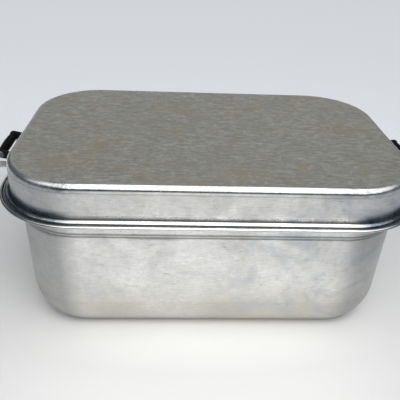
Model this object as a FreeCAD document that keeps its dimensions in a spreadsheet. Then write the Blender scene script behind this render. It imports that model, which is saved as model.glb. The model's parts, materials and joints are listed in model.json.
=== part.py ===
"""Covered roasting pan in drawn aluminium, with swinging end handles and a wire rack inside.

Frame: +X along the length, +Y to the back, +Z up, millimetres. The origin is under the middle
of the pan, on the surface that it stands on.
"""

import FreeCAD, Part
import math
import os
import Sketcher
from FreeCAD import Placement, Rotation, Vector

# Driving dimensions, in millimetres and degrees. Every outline is an offset from pan_length,
# pan_width and pan_corner, which are those of the base wall just under its collar.
DRIVING_SIZES = {
    "pan_length": 416.2,
    "pan_width": 260.2,
    "pan_corner": 68.0,
    "sheet": 1.8,
    "draft": 0.85,
    "foot_radius": 35.5,
    "collar_step": 0.9,
    "lower_step_height": 132.6,
    "upper_step_height": 136.4,
    "ledge_top": 157.0,
    "mouth_round": 1.4,
    "ledge_round": 3.0,
    "base_bead": 3.3,
    "base_bead_reach": 19.3,
    "lid_reach": 9.4,
    "lid_top": 197.4,
    "lid_shoulder": 6.8,
    "lid_flange_top": 159.1,
    "lid_flange_round": 0.5,
    "lid_roll_radius": 3.2,
    "lid_roll_reach": 13.5,
    "lid_roll_height": 158.1,
    "lid_pivot_height": 171.0,
    "base_pivot_height": 124.0,
    "pivot_offset": 7.6,
    "ear_sheet": 1.6,
    "ear_spacing": 57.0,
    "ear_half_width": 10.5,
    "ear_up": 7.0,
    "ear_down": 5.0,
    "ear_corner": 2.5,
    "ear_nose": 6.0,
    "heel_setback": 1.0,
    "lip_start": 0.5,
    "tab_reach": 17.5,
    "tab_width": 12.5,
    "seat_gap": 0.02,
    "rivet_spacing": 13.0,
    "rivet_rise": 1.0,
    "rivet_diameter": 4.0,
    "rivet_head": 6.4,
    "rivet_crown": 1.8,
    "rivet_tail": 1.2,
    "pin_diameter": 4.0,
    "pin_head": 7.0,
    "pin_head_height": 1.4,
    "running_gap": 0.05,
    "side_gap": 0.3,
    "arm_sheet": 1.6,
    "arm_length": 14.2,
    "arm_nose": 5.0,
    "lid_handle_angle": 12.0,
    "grip_diameter": 10.6,
    "grip_end_diameter": 8.2,
    "rod_diameter": 4.0,
    "rack_height": 16.0,
    "rack_length": 356.0,
    "rack_width": 203.0,
    "rack_corner": 42.0,
    "rack_frame_wire": 5.0,
    "rack_cross_wire": 3.2,
    "rack_pitch": 25.0,
    "rack_runner_spacing": 90.0,
    "rack_foot_spacing": 240.0,
    "rack_foot_gap": 0.3,
}

CROSS_WIRES = 13
HANGING_ANGLE = "-90"

doc = FreeCAD.newDocument("CoveredRoastingPan")
sheet = doc.addObject("Spreadsheet::Sheet", "Sizes")
nodes = {}


def fill_sheet():
    """Writes each driving size into the sheet as a plain number with an alias."""
    for row, (name, size) in enumerate(DRIVING_SIZES.items(), start=1):
        sheet.set(f"A{row}", name)
        sheet.set(f"B{row}", str(size))
        sheet.setAlias(f"B{row}", name)
    doc.recompute()


def linked(text):
    """Turns a formula of size names into an expression that reads the sheet."""
    words = text.replace("(", "( ").replace(")", " )").split()
    return " ".join(f"Sizes.{word}" if word in DRIVING_SIZES else word for word in words)


def value(text):
    """Evaluates a formula of size names to a plain number."""
    result = sheet.evalExpression(linked(text))
    return float(getattr(result, "Value", result))


# ---- general helpers ---------------------------------------------------------------------


def new_body(name):
    """Starts a sub-part whose label is also the name of its file."""
    body = doc.addObject("PartDesign::Body", name)
    body.Label = name
    nodes[name] = body
    return body


def origin_feature(body, role):
    """Finds one of the body's own origin planes or axes."""
    return next(feature for feature in body.Origin.OriginFeatures if feature.Role == role)


def new_sketch(body, name, plane, shift=("0", "0", "0")):
    """Adds a sketch on an origin plane, moved within the plane and along its normal."""
    sketch = body.newObject("Sketcher::SketchObject", name)
    sketch.AttachmentSupport = (origin_feature(body, plane), [""])
    sketch.MapMode = "FlatFace"
    for direction, formula in zip("xyz", shift):
        if formula != "0":
            sketch.setExpression(f"AttachmentOffset.Base.{direction}", linked(formula))
    doc.recompute()
    return sketch


def dimension(sketch, kind, where, formula):
    """Adds a dimension whose size is bound to the sheet."""
    index = sketch.addConstraint(Sketcher.Constraint(kind, *where, value(formula)))
    sketch.setExpression(f"Constraints[{index}]", linked(formula))


def relate(sketch, kind, *where):
    """Adds a geometric constraint, which has no size."""
    sketch.addConstraint(Sketcher.Constraint(kind, *where))


def add_line(sketch, start, end):
    return sketch.addGeometry(Part.LineSegment(Vector(*start, 0), Vector(*end, 0)), False)


def add_arc(sketch, centre, radius, start_degrees, end_degrees):
    circle = Part.Circle(Vector(*centre, 0), Vector(0, 0, 1), radius)
    arc = Part.ArcOfCircle(circle, math.radians(start_degrees), math.radians(end_degrees))
    return sketch.addGeometry(arc, False)


def add_circle(sketch, centre, diameter):
    """Adds a circle at a formula centre, with its diameter bound to the sheet."""
    across, up = value(centre[0]), value(centre[1])
    circle = Part.Circle(Vector(across, up, 0), Vector(0, 0, 1), value(diameter) / 2)
    index = sketch.addGeometry(circle, False)
    dimension(sketch, "Diameter", (index,), diameter)
    place_point(sketch, index, 3, centre)
    return index


def place_point(sketch, index, end, place):
    """Fixes one point of an element by its two formula coordinates from the origin."""
    for kind, formula in zip(("DistanceX", "DistanceY"), place):
        if value(formula) >= 0:
            dimension(sketch, kind, (-1, 1, index, end), formula)
        else:
            dimension(sketch, kind, (index, end, -1, 1), f"-1 * ({formula})")


def add_polygon(sketch, corners):
    """Adds a closed outline of straight lines through formula corners."""
    points = [(value(across), value(up)) for across, up in corners]
    count = len(points)
    lines = [add_line(sketch, points[k], points[(k + 1) % count]) for k in range(count)]
    for k, line in enumerate(lines):
        relate(sketch, "Coincident", line, 2, lines[(k + 1) % count], 1)
    for line, place in zip(lines, corners):
        place_point(sketch, line, 1, place)


def add_rounded_rectangle(sketch, half_length, half_width, corner):
    """Adds a rounded rectangle about the sketch origin; its right side comes first."""
    length, width, radius = value(half_length), value(half_width), value(corner)
    straight_x, straight_y = length - radius, width - radius
    right = add_line(sketch, (length, -straight_y), (length, straight_y))
    add_arc(sketch, (straight_x, straight_y), radius, 0, 90)
    back = add_line(sketch, (straight_x, width), (-straight_x, width))
    add_arc(sketch, (-straight_x, straight_y), radius, 90, 180)
    left = add_line(sketch, (-length, straight_y), (-length, -straight_y))
    add_arc(sketch, (-straight_x, -straight_y), radius, 180, 270)
    front = add_line(sketch, (-straight_x, -width), (straight_x, -width))
    add_arc(sketch, (straight_x, -straight_y), radius, 270, 360)
    for step in range(8):
        relate(sketch, "Tangent", right + step, 2, right + (step + 1) % 8, 1)
    for line in (right, left):
        relate(sketch, "Vertical", line)
    for line in (back, front):
        relate(sketch, "Horizontal", line)
    for other_arc in (back + 1, left + 1, front + 1):
        relate(sketch, "Equal", right + 1, other_arc)
    dimension(sketch, "Radius", (right + 1,), corner)
    dimension(sketch, "DistanceX", (-1, 1, right, 1), half_length)
    dimension(sketch, "DistanceX", (left, 1, -1, 1), half_length)
    dimension(sketch, "DistanceY", (-1, 1, back, 1), half_width)
    dimension(sketch, "DistanceY", (front, 1, -1, 1), half_width)


def add_pan_outline(sketch, reach):
    """Adds the plan outline of the pan, offset outwards by a formula."""
    add_rounded_rectangle(
        sketch,
        f"pan_length / 2 + {reach}",
        f"pan_width / 2 + {reach}",
        f"pan_corner + {reach}",
    )


def pad(body, name, sketch, length, taper=None, centred=False, downwards=False):
    feature = body.newObject("PartDesign::Pad", name)
    feature.Profile = sketch
    feature.setExpression("Length", linked(length))
    feature.Reversed = downwards
    if centred:
        feature.SideType = "Symmetric"
    if taper:
        feature.setExpression("TaperAngle", linked(taper))
    doc.recompute()
    return feature


def drill(body, name, sketch):
    """Cuts the sketch through everything on both sides, and checks that it cut."""
    before = body.Shape.Volume
    feature = body.newObject("PartDesign::Pocket", name)
    feature.Profile = sketch
    feature.Type = "ThroughAll"
    feature.SideType = "Symmetric"
    doc.recompute()
    if before - body.Shape.Volume < 1.0:
        raise RuntimeError(f"{name} cut nothing")
    return feature


def fillet(body, name, base, radius, wanted):
    """Rounds the edges that the test picks."""
    numbered = enumerate(base.Shape.Edges, start=1)
    edges = [f"Edge{number}" for number, edge in numbered if wanted(edge)]
    feature = body.newObject("PartDesign::Fillet", name)
    feature.Base = (base, edges)
    feature.setExpression("Radius", linked(radius))
    doc.recompute()
    return feature


def level_edges(height, reach=None):
    """Picks the edges that lie flat at a height, and with a reach, on that outline only."""
    level = value(height)
    wall_x = value(f"pan_length / 2 + {reach}") if reach else None
    wall_y = value(f"pan_width / 2 + {reach}") if reach else None

    def wanted(edge):
        box = edge.BoundBox
        if abs(box.ZMin - level) > 0.01 or abs(box.ZMax - level) > 0.01:
            return False
        if reach is None:
            return True
        far_x = max(abs(box.XMin), abs(box.XMax))
        far_y = max(abs(box.YMin), abs(box.YMax))
        return abs(far_x - wall_x) < 0.3 or abs(far_y - wall_y) < 0.3

    return wanted


def revolve(body, name, sketch, axis="V_Axis"):
    feature = body.newObject("PartDesign::Revolution", name)
    feature.Profile = sketch
    feature.ReferenceAxis = (sketch, [axis])
    feature.Angle = 360
    doc.recompute()
    return feature


def bead(body, name, reach, height, diameter):
    """Sweeps the round rolled edge along the plan outline at a reach and height."""
    path = new_sketch(body, f"{name}Path", "XY_Plane", ("0", "0", height))
    add_pan_outline(path, reach)
    section_plane = "pan_width / 2 - pan_corner"
    section = new_sketch(body, f"{name}Section", "XZ_Plane", ("0", "0", section_plane))
    add_circle(section, (f"pan_length / 2 + {reach}", height), diameter)
    sweep = body.newObject("PartDesign::AdditivePipe", name)
    sweep.Profile = section
    sweep.Spine = (path, [])
    doc.recompute()
    return sweep


# ---- pan and lid -------------------------------------------------------------------------


def drill_rivet_holes(body, level):
    """Drills both end walls for the rivets of both ears."""
    sketch = new_sketch(body, "RivetHoles", "YZ_Plane")
    for ear in ("-1", "1"):
        for rivet in ("-1", "1"):
            across = f"( {ear} * ear_spacing + {rivet} * rivet_spacing ) / 2"
            add_circle(sketch, (across, level), "rivet_diameter + 2 * running_gap")
    drill(body, "EndWallHoles", sketch)


def make_base_pan():
    """Deep pan: drawn wall with a stepped collar, a ledge for the lid and a rolled edge."""
    body = new_body("base_pan")
    foot_reach = "-1 * lower_step_height * tan( draft )"
    outline = new_sketch(body, "FootOutline", "XY_Plane")
    add_pan_outline(outline, foot_reach)
    pad(body, "Block", outline, "ledge_top", taper="draft")
    mouth = new_sketch(body, "MouthOutline", "XY_Plane", ("0", "0", "ledge_top"))
    add_pan_outline(mouth, "( ledge_top - lower_step_height ) * tan( draft ) - sheet")
    lined = hollow(body, mouth, "ledge_top - sheet", "sheet", "foot_radius - sheet")
    fillet(body, "FootRound", lined, "foot_radius", level_edges("0"))
    for name, step, level in (
        ("LowerStep", "1", "lower_step_height"),
        ("UpperStep", "2", "upper_step_height"),
    ):
        sketch = new_sketch(body, f"{name}Ring", "XY_Plane", ("0", "0", level))
        add_pan_outline(sketch, f"{step} * collar_step")
        add_pan_outline(sketch, "-0.5 * sheet")
        pad(body, name, sketch, f"ledge_top - {level}")
    ledge_ring = new_sketch(body, "LedgeRing", "XY_Plane", ("0", "0", "ledge_top - sheet"))
    add_pan_outline(ledge_ring, "base_bead_reach")
    add_pan_outline(ledge_ring, "0")
    ledge = pad(body, "Ledge", ledge_ring, "sheet")
    under_ledge = level_edges("ledge_top - sheet", "2 * collar_step")
    fillet(body, "LedgeRound", ledge, "ledge_round", under_ledge)
    bead_height = "ledge_top - sheet + base_bead / 2"
    bead(body, "RolledEdge", "base_bead_reach", bead_height, "base_bead")
    drill_rivet_holes(body, "base_pivot_height - rivet_rise + pivot_offset * sin( draft )")


def make_lid_pan():
    """Cover: an upturned shallow pan whose rolled rim sits inside the rolled edge of the base."""
    body = new_body("lid_pan")
    underside = "lid_flange_top - sheet"
    outline = new_sketch(body, "WallOutline", "XY_Plane", ("0", "0", underside))
    add_pan_outline(outline, "lid_reach")
    pad(body, "Block", outline, f"lid_top - ( {underside} )", taper="-1 * draft")
    mouth = new_sketch(body, "MouthOutline", "XY_Plane", ("0", "0", underside))
    add_pan_outline(mouth, "lid_reach - sheet")
    depth = f"lid_top - sheet - ( {underside} )"
    lined = hollow(
        body, mouth, depth, "lid_top - sheet", "lid_shoulder - sheet", upwards=True
    )
    fillet(body, "Shoulder", lined, "lid_shoulder", level_edges("lid_top"))
    flange_ring = new_sketch(body, "FlangeRing", "XY_Plane", ("0", "0", underside))
    add_pan_outline(flange_ring, "( lid_roll_reach - lid_roll_radius + sheet / 2 )")
    add_pan_outline(flange_ring, "( lid_reach - sheet / 2 )")
    flange = pad(body, "Flange", flange_ring, "sheet")
    corner = level_edges("lid_flange_top", "lid_reach")
    fillet(body, "FlangeRound", flange, "lid_flange_round", corner)
    rolled_rim(body, "RolledRim", underside)
    drill_rivet_holes(body, "lid_pivot_height + rivet_rise - pivot_offset * sin( draft )")


def hollow(body, outline, depth, floor_level, radius, upwards=False):
    """Cuts the tapering inside of a drawn pan from its open side, and rounds its corner."""
    before = body.Shape.Volume
    cavity = body.newObject("PartDesign::Pocket", "Cavity")
    cavity.Profile = outline
    cavity.Type = "Length"
    cavity.setExpression("Length", linked(depth))
    cavity.setExpression("TaperAngle", linked("-1 * draft"))
    cavity.Reversed = upwards
    doc.recompute()
    if body.Shape.Volume > 0.3 * before:
        raise RuntimeError(f"{body.Label} was not hollowed")
    return fillet(body, "CavityRound", cavity, radius, level_edges(floor_level))


def rolled_rim(body, name, foot_level):
    """Sweeps the hollow roll of the lid's rim, open underneath, along the plan outline."""
    path = new_sketch(body, f"{name}Path", "XY_Plane", ("0", "0", foot_level))
    add_pan_outline(path, "lid_roll_reach")
    section_plane = "pan_width / 2 - pan_corner"
    section = new_sketch(body, f"{name}Section", "XZ_Plane", ("0", "0", section_plane))
    add_arch_outline(section, "pan_length / 2 + lid_roll_reach", "lid_roll_height", foot_level)
    sweep = body.newObject("PartDesign::AdditivePipe", name)
    sweep.Profile = section
    sweep.Spine = (path, [])
    doc.recompute()
    return sweep


def add_arch_outline(sketch, across, up, foot_level):
    """Adds an arch of the sheet: two half rounds about one centre, on two short legs."""
    middle, crown, foot = value(across), value(up), value(foot_level)
    outer, inner = value("lid_roll_radius"), value("lid_roll_radius - sheet")
    over = add_arc(sketch, (middle, crown), outer, 0, 180)
    near = add_line(sketch, (middle - outer, crown), (middle - outer, foot))
    near_foot = add_line(sketch, (middle - outer, foot), (middle - inner, foot))
    near_inside = add_line(sketch, (middle - inner, foot), (middle - inner, crown))
    under = add_arc(sketch, (middle, crown), inner, 0, 180)
    far_inside = add_line(sketch, (middle + inner, crown), (middle + inner, foot))
    far_foot = add_line(sketch, (middle + inner, foot), (middle + outer, foot))
    far = add_line(sketch, (middle + outer, foot), (middle + outer, crown))
    joins = (
        (over, 2, near, 1),
        (near, 2, near_foot, 1),
        (near_foot, 2, near_inside, 1),
        (near_inside, 2, under, 2),
        (under, 1, far_inside, 1),
        (far_inside, 2, far_foot, 1),
        (far_foot, 2, far, 1),
        (far, 2, over, 1),
    )
    for join in joins:
        relate(sketch, "Coincident", *join)
    for line in (near, near_inside, far_inside, far):
        relate(sketch, "Vertical", line)
    for line in (near_foot, far_foot):
        relate(sketch, "Horizontal", line)
    relate(sketch, "Coincident", over, 3, under, 3)
    dimension(sketch, "Radius", (over,), "lid_roll_radius")
    dimension(sketch, "Radius", (under,), "lid_roll_radius - sheet")
    place_point(sketch, over, 3, (across, up))
    for line in (near_foot, far_foot):
        dimension(sketch, "DistanceY", (-1, 1, line, 1), foot_level)
    for arc in (over, under):
        for end in (1, 2):
            relate(sketch, "Horizontal", arc, 3, arc, end)


# ---- ears, rivets and pivot pins ---------------------------------------------------------


def is_plate_corner(edge):
    """Picks the edges that run through the thickness of an ear's plate."""
    return abs(edge.BoundBox.XLength - value("ear_sheet")) < 0.01


def make_ear(name, tab_side=0):
    """Pressed ear: a riveted pad, a lug for the pivot pin and a lip that stops the arm.

    A tab_side of 1 or -1 adds the thumb tab of a lid ear, towards +Y or -Y of the ear.
    """
    body = new_body(name)
    back = "seat_gap - pivot_offset"
    pad_outline = new_sketch(body, "PadOutline", "YZ_Plane", ("0", "0", back))
    corners = [
        ("-1 * ear_half_width", "-1 * ear_down"),
        ("ear_half_width", "-1 * ear_down"),
        ("ear_half_width", "ear_up"),
        ("-1 * ear_half_width", "ear_up"),
    ]
    add_polygon(pad_outline, corners)
    plate = pad(body, "RivetedPad", pad_outline, "ear_sheet")
    fillet(body, "PadCorners", plate, "ear_corner", is_plate_corner)
    lug_outline = new_sketch(body, "LugOutline", "XZ_Plane")
    add_lug_outline(lug_outline)
    pad(body, "Lug", lug_outline, "ear_sheet", centred=True)
    lip_outline = new_sketch(body, "LipOutline", "XZ_Plane")
    add_lip_outline(lip_outline, "ear_nose - heel_setback")
    pad(body, "StopLip", lip_outline, "ear_sheet + 2 * arm_sheet", centred=True)
    if tab_side:
        tab_outline = new_sketch(body, "TabOutline", "XZ_Plane")
        add_lip_outline(tab_outline, "tab_reach")
        pad(body, "ThumbTab", tab_outline, "tab_width", downwards=tab_side > 0)
    pin_hole = new_sketch(body, "PinHole", "XZ_Plane")
    add_circle(pin_hole, ("0", "0"), "pin_diameter + 2 * seat_gap")
    drill(body, "PinBore", pin_hole)
    rivet_holes = new_sketch(body, "RivetHoles", "YZ_Plane")
    for rivet in ("-1", "1"):
        centre = (f"{rivet} * rivet_spacing / 2", "rivet_rise")
        add_circle(rivet_holes, centre, "rivet_diameter + 2 * seat_gap")
    drill(body, "RivetBores", rivet_holes)
    return body


def add_lip_outline(sketch, reach):
    """A level strip of the sheet just under the arm, out to a reach."""
    lip_top = "-1 * arm_nose - 2 * side_gap"
    corners = [
        ("lip_start", f"{lip_top} - ear_sheet"),
        (reach, f"{lip_top} - ear_sheet"),
        (reach, lip_top),
        ("lip_start", lip_top),
    ]
    add_polygon(sketch, corners)


def add_lug_outline(sketch):
    """A tongue from the pad that ends in a round nose about the pivot, with a square heel."""
    nose = value("ear_nose")
    back, heel_x = value("seat_gap - pivot_offset"), value("ear_nose - heel_setback")
    down, heel_z = -value("ear_down"), -value("arm_nose + 2 * side_gap + ear_sheet")
    nose_start = -math.acos(heel_x / nose)
    top = add_line(sketch, (0, nose), (back, nose))
    rear = add_line(sketch, (back, nose), (back, down))
    under = add_line(sketch, (back, down), (0, down))
    drop = add_line(sketch, (0, down), (0, heel_z))
    heel = add_line(sketch, (0, heel_z), (heel_x, heel_z))
    rise = add_line(sketch, (heel_x, heel_z), (heel_x, nose * math.sin(nose_start)))
    arc = add_arc(sketch, (0, 0), nose, math.degrees(nose_start), 90)
    chain = (top, rear, under, drop, heel, rise, arc)
    for element, following in zip(chain, chain[1:] + chain[:1]):
        relate(sketch, "Coincident", element, 2, following, 1)
    for line in (top, under, heel):
        relate(sketch, "Horizontal", line)
    for line in (rear, drop, rise):
        relate(sketch, "Vertical", line)
    relate(sketch, "Coincident", arc, 3, -1, 1)
    relate(sketch, "PointOnObject", drop, 1, -2)
    relate(sketch, "PointOnObject", arc, 2, -2)
    dimension(sketch, "Radius", (arc,), "ear_nose")
    dimension(sketch, "DistanceX", (rear, 1, -1, 1), "pivot_offset - seat_gap")
    dimension(sketch, "DistanceY", (under, 1, -1, 1), "ear_down")
    dimension(sketch, "DistanceX", (-1, 1, rise, 1), "ear_nose - heel_setback")
    dimension(sketch, "DistanceY", (rise, 1, -1, 1), "arm_nose + 2 * side_gap + ear_sheet")


def make_rivets(name, rise):
    """The four rivets of one handle: domed heads outside, flat heads inside the wall."""
    body = new_body(name)
    body.AllowCompound = True
    first = ("0", rise, "( ear_spacing + rivet_spacing ) / 2")
    sketch = new_sketch(body, "RivetSection", "XZ_Plane", first)
    wall_outside = "-1 * pivot_offset"
    head_seat = f"{wall_outside} + 2 * seat_gap + ear_sheet"
    tail_seat = f"{wall_outside} - sheet - seat_gap"
    shank, head = "rivet_diameter / 2", "rivet_head / 2"
    corners = [
        (f"{tail_seat} - rivet_tail", "0"),
        (f"{head_seat} + rivet_crown", "0"),
        (f"{head_seat} + rivet_crown * 0.9", f"{head} * 0.4"),
        (f"{head_seat} + rivet_crown * 0.55", f"{head} * 0.8"),
        (head_seat, head),
        (head_seat, shank),
        (tail_seat, shank),
        (tail_seat, head),
        (f"{tail_seat} - rivet_tail", f"{head} * 0.9"),
    ]
    add_polygon(sketch, corners)
    rivet = revolve(body, "Rivet", sketch, "H_Axis")
    repeat_rivet(body, rivet)
    return body


def repeat_rivet(body, rivet):
    """Repeats one rivet across its ear, and the pair at the other ear."""
    both = body.newObject("PartDesign::MultiTransform", "AllRivets")
    steps = []
    for name, spacing in (("WithinEar", "rivet_spacing"), ("BetweenEars", "ear_spacing")):
        step = body.newObject("PartDesign::LinearPattern", name)
        step.Direction = (origin_feature(body, "Y_Axis"), [""])
        step.setExpression("Length", linked(spacing))
        step.Occurrences = 2
        steps.append(step)
    both.Originals = [rivet]
    both.Transformations = steps
    body.Tip = both
    doc.recompute()


def make_pins(name):
    """The two pivot pins of one handle, fixed in the lugs and running in the arms."""
    body = new_body(name)
    body.AllowCompound = True
    sketch = new_sketch(body, "PinSection", "XY_Plane")
    shank, head = "pin_diameter / 2", "pin_head / 2"
    outer = "ear_spacing / 2 + ear_sheet / 2 + seat_gap"
    inner = "ear_spacing / 2 - ear_sheet / 2 - arm_sheet - 2 * side_gap"
    corners = [
        ("0", f"{inner} - pin_head_height"),
        (f"{head} * 0.8", f"{inner} - pin_head_height"),
        (head, f"{inner} - pin_head_height / 2"),
        (head, inner),
        (shank, inner),
        (shank, outer),
        (head, outer),
        (head, f"{outer} + pin_head_height / 2"),
        (f"{head} * 0.8", f"{outer} + pin_head_height"),
        ("0", f"{outer} + pin_head_height"),
    ]
    add_polygon(sketch, corners)
    pin = revolve(body, "Pin", sketch)
    mirrored = body.newObject("PartDesign::Mirrored", "OtherPin")
    mirrored.Originals = [pin]
    mirrored.MirrorPlane = (origin_feature(body, "XZ_Plane"), [""])
    body.Tip = mirrored
    doc.recompute()
    return body


# ---- swinging handle ---------------------------------------------------------------------


def make_arm(name):
    """Flat strap with round ends, bored for the pivot pin and for the tie rod."""
    body = new_body(name)
    outline = new_sketch(body, "StrapOutline", "XZ_Plane")
    nose, length = value("arm_nose"), value("arm_length")
    top = add_line(outline, (length, nose), (0, nose))
    inner = add_arc(outline, (0, 0), nose, 90, 270)
    bottom = add_line(outline, (0, -nose), (length, -nose))
    outer = add_arc(outline, (length, 0), nose, 270, 450)
    chain = (top, inner, bottom, outer)
    for element, following in zip(chain, chain[1:] + chain[:1]):
        relate(outline, "Tangent", element, 2, following, 1)
    relate(outline, "Horizontal", top)
    relate(outline, "Coincident", inner, 3, -1, 1)
    dimension(outline, "Radius", (inner,), "arm_nose")
    dimension(outline, "DistanceX", (inner, 3, outer, 3), "arm_length")
    pad(body, "Strap", outline, "arm_sheet", centred=True)
    bores = new_sketch(body, "BoreCircles", "XZ_Plane")
    add_circle(bores, ("0", "0"), "pin_diameter + 2 * running_gap")
    add_circle(bores, ("arm_length", "0"), "rod_diameter + 2 * seat_gap")
    drill(body, "Bores", bores)
    return body


def make_grip(name):
    """Barrel-shaped moulded grip, bored right through for the tie rod."""
    body = new_body(name)
    section = new_sketch(body, "GripSection", "XY_Plane", ("arm_length", "0", "0"))
    bore, end = value("rod_diameter / 2 + running_gap"), value("grip_end_diameter / 2")
    middle = value("grip_diameter / 2")
    half_formula = "ear_spacing / 2 - ear_sheet / 2 - side_gap - arm_sheet - seat_gap"
    half = value(half_formula)
    bore_line = add_line(section, (bore, half), (bore, -half))
    front = add_line(section, (bore, -half), (end, -half))
    ends = [Vector(end, -half, 0), Vector(middle, 0, 0), Vector(end, half, 0)]
    barrel = section.addGeometry(Part.Arc(*ends), False)
    rear = add_line(section, (end, half), (bore, half))
    chain = (bore_line, front, barrel, rear)
    for element, following in zip(chain, chain[1:] + chain[:1]):
        relate(section, "Coincident", element, 2, following, 1)
    relate(section, "Vertical", bore_line)
    for line in (front, rear):
        relate(section, "Horizontal", line)
    relate(section, "Equal", front, rear)
    dimension(section, "DistanceY", (-1, 1, bore_line, 1), half_formula)
    dimension(section, "DistanceY", (bore_line, 2, -1, 1), half_formula)
    dimension(section, "DistanceX", (-1, 1, bore_line, 1), "rod_diameter / 2 + running_gap")
    reach = "grip_end_diameter / 2 - rod_diameter / 2 - running_gap"
    dimension(section, "DistanceX", (front, 1, front, 2), reach)
    rise = "( ( grip_diameter - grip_end_diameter ) / 2 )"
    bulge = f"( ( {half_formula} ) ^ 2 + {rise} ^ 2 ) / ( 2 * {rise} )"
    dimension(section, "Radius", (barrel,), bulge)
    revolve(body, "Grip", section)
    return body


def make_rod(name):
    """Tie rod through the grip, with its ends peened over the arms."""
    body = new_body(name)
    section = new_sketch(body, "RodSection", "XY_Plane", ("arm_length", "0", "0"))
    outer = "( ear_spacing / 2 - ear_sheet / 2 - side_gap + seat_gap )"
    shank, head = "rod_diameter / 2", "pin_head / 2"
    tip = f"{outer} + pin_head_height"
    corners = [
        ("0", f"-1 * {outer} - pin_head_height"),
        (f"{head} * 0.7", f"-1 * {outer} - pin_head_height"),
        (head, f"-1 * {outer} - pin_head_height / 2"),
        (head, f"-1 * {outer}"),
        (shank, f"-1 * {outer}"),
        (shank, outer),
        (head, outer),
        (head, f"{outer} + pin_head_height / 2"),
        (f"{head} * 0.7", tip),
        ("0", tip),
    ]
    add_polygon(section, corners)
    revolve(body, "Rod", section)
    return body


# ---- wire rack ---------------------------------------------------------------------------


def make_rack():
    """Welded wire rack: a round-cornered frame, runners below, cross wires above, four feet."""
    body = new_body("wire_rack")
    half_length, half_width = "rack_length / 2", "rack_width / 2"
    path = new_sketch(body, "FramePath", "XY_Plane", ("0", "0", "rack_height"))
    add_rounded_rectangle(path, half_length, half_width, "rack_corner")
    start = "rack_width / 2 - rack_corner"
    section = new_sketch(body, "FrameSection", "XZ_Plane", ("0", "0", start))
    add_circle(section, (half_length, "rack_height"), "rack_frame_wire")
    frame = body.newObject("PartDesign::AdditivePipe", "Frame")
    frame.Profile = section
    frame.Spine = (path, [])
    doc.recompute()
    runner_ends = new_sketch(body, "RunnerEnds", "YZ_Plane")
    for side in ("-1", "1"):
        centre = (f"{side} * rack_runner_spacing / 2", "rack_height")
        add_circle(runner_ends, centre, "rack_frame_wire * 0.8")
    pad(body, "Runners", runner_ends, "rack_length", centred=True)
    cross_ends = new_sketch(body, "CrossWireEnds", "XZ_Plane")
    cross_height = "rack_height + rack_frame_wire / 2 + rack_cross_wire * 0.3"
    for number in range(CROSS_WIRES):
        across = f"( {number} - {CROSS_WIRES // 2} ) * rack_pitch"
        add_circle(cross_ends, (across, cross_height), "rack_cross_wire")
    pad(body, "CrossWires", cross_ends, "rack_width", centred=True)
    feet = new_sketch(body, "FeetCircles", "XY_Plane", ("0", "0", "sheet + rack_foot_gap"))
    for along in ("-1", "1"):
        for across in ("-1", "1"):
            centre = (f"{along} * rack_foot_spacing / 2", f"{across} * rack_runner_spacing / 2")
            add_circle(feet, centre, "rack_frame_wire")
    pad(body, "Feet", feet, "rack_height - sheet - rack_foot_gap")


# ---- handles in place --------------------------------------------------------------------


def place(body, side, pivot, angle="0", across="0", flipped=False):
    """Puts a handle piece at its pivot: x outwards, then turned up by the angle."""
    end_turn = Rotation(Vector(0, 0, 1), 0 if side == "right" else 180)
    tilt = Rotation(Vector(0, 1, 0), -value(angle))
    flip = Rotation(Vector(1, 0, 0), 180 if flipped else 0)
    body.Placement = Placement(Vector(0, 0, 0), end_turn * tilt * flip)
    sign = "1" if side == "right" else "-1"
    body.setExpression("Placement.Base.x", linked(f"{sign} * ( {pivot['reach']} )"))
    body.setExpression("Placement.Base.y", linked(across))
    body.setExpression("Placement.Base.z", linked(pivot["height"]))


def make_handle(where, side, pivot, angle, flipped):
    """One end handle: two ears, their rivets and pins, and the swinging arms, grip and rod."""
    prefix = f"{where}_{side}"
    arm_place = "( ear_spacing / 2 - ear_sheet / 2 - side_gap - arm_sheet / 2 )"
    turned = 1 if side == "right" else -1
    for end, sign in (("front", "-1"), ("rear", "1")):
        ear = make_ear(f"{prefix}_{end}_ear", int(sign) * turned if where == "lid" else 0)
        place(ear, side, pivot, pivot["lean"], f"{sign} * ear_spacing / 2", flipped)
        arm = make_arm(f"{prefix}_{end}_arm")
        place(arm, side, pivot, angle, f"{sign} * {arm_place}")
    rivets = make_rivets(f"{prefix}_rivets", "rivet_rise")
    place(rivets, side, pivot, pivot["lean"], flipped=flipped)
    pins = make_pins(f"{prefix}_pivot_pins")
    place(pins, side, pivot)
    grip = make_grip(f"{prefix}_grip")
    place(grip, side, pivot, angle)
    rod = make_rod(f"{prefix}_tie_rod")
    place(rod, side, pivot, angle)


def make_all():
    fill_sheet()
    make_base_pan()
    make_lid_pan()
    lid_pivot = {
        "reach": "pan_length / 2 + lid_reach + pivot_offset"
        " - ( lid_pivot_height - lid_flange_top + sheet ) * tan( draft )",
        "height": "lid_pivot_height",
        "lean": "draft",
    }
    base_pivot = {
        "reach": "pan_length / 2 + pivot_offset"
        " - ( lower_step_height - base_pivot_height ) * tan( draft )",
        "height": "base_pivot_height",
        "lean": "-1 * draft",
    }
    for side in ("left", "right"):
        make_handle("lid", side, lid_pivot, "lid_handle_angle", flipped=False)
        make_handle("base", side, base_pivot, HANGING_ANGLE, flipped=True)
    make_rack()
    doc.recompute()


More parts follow.
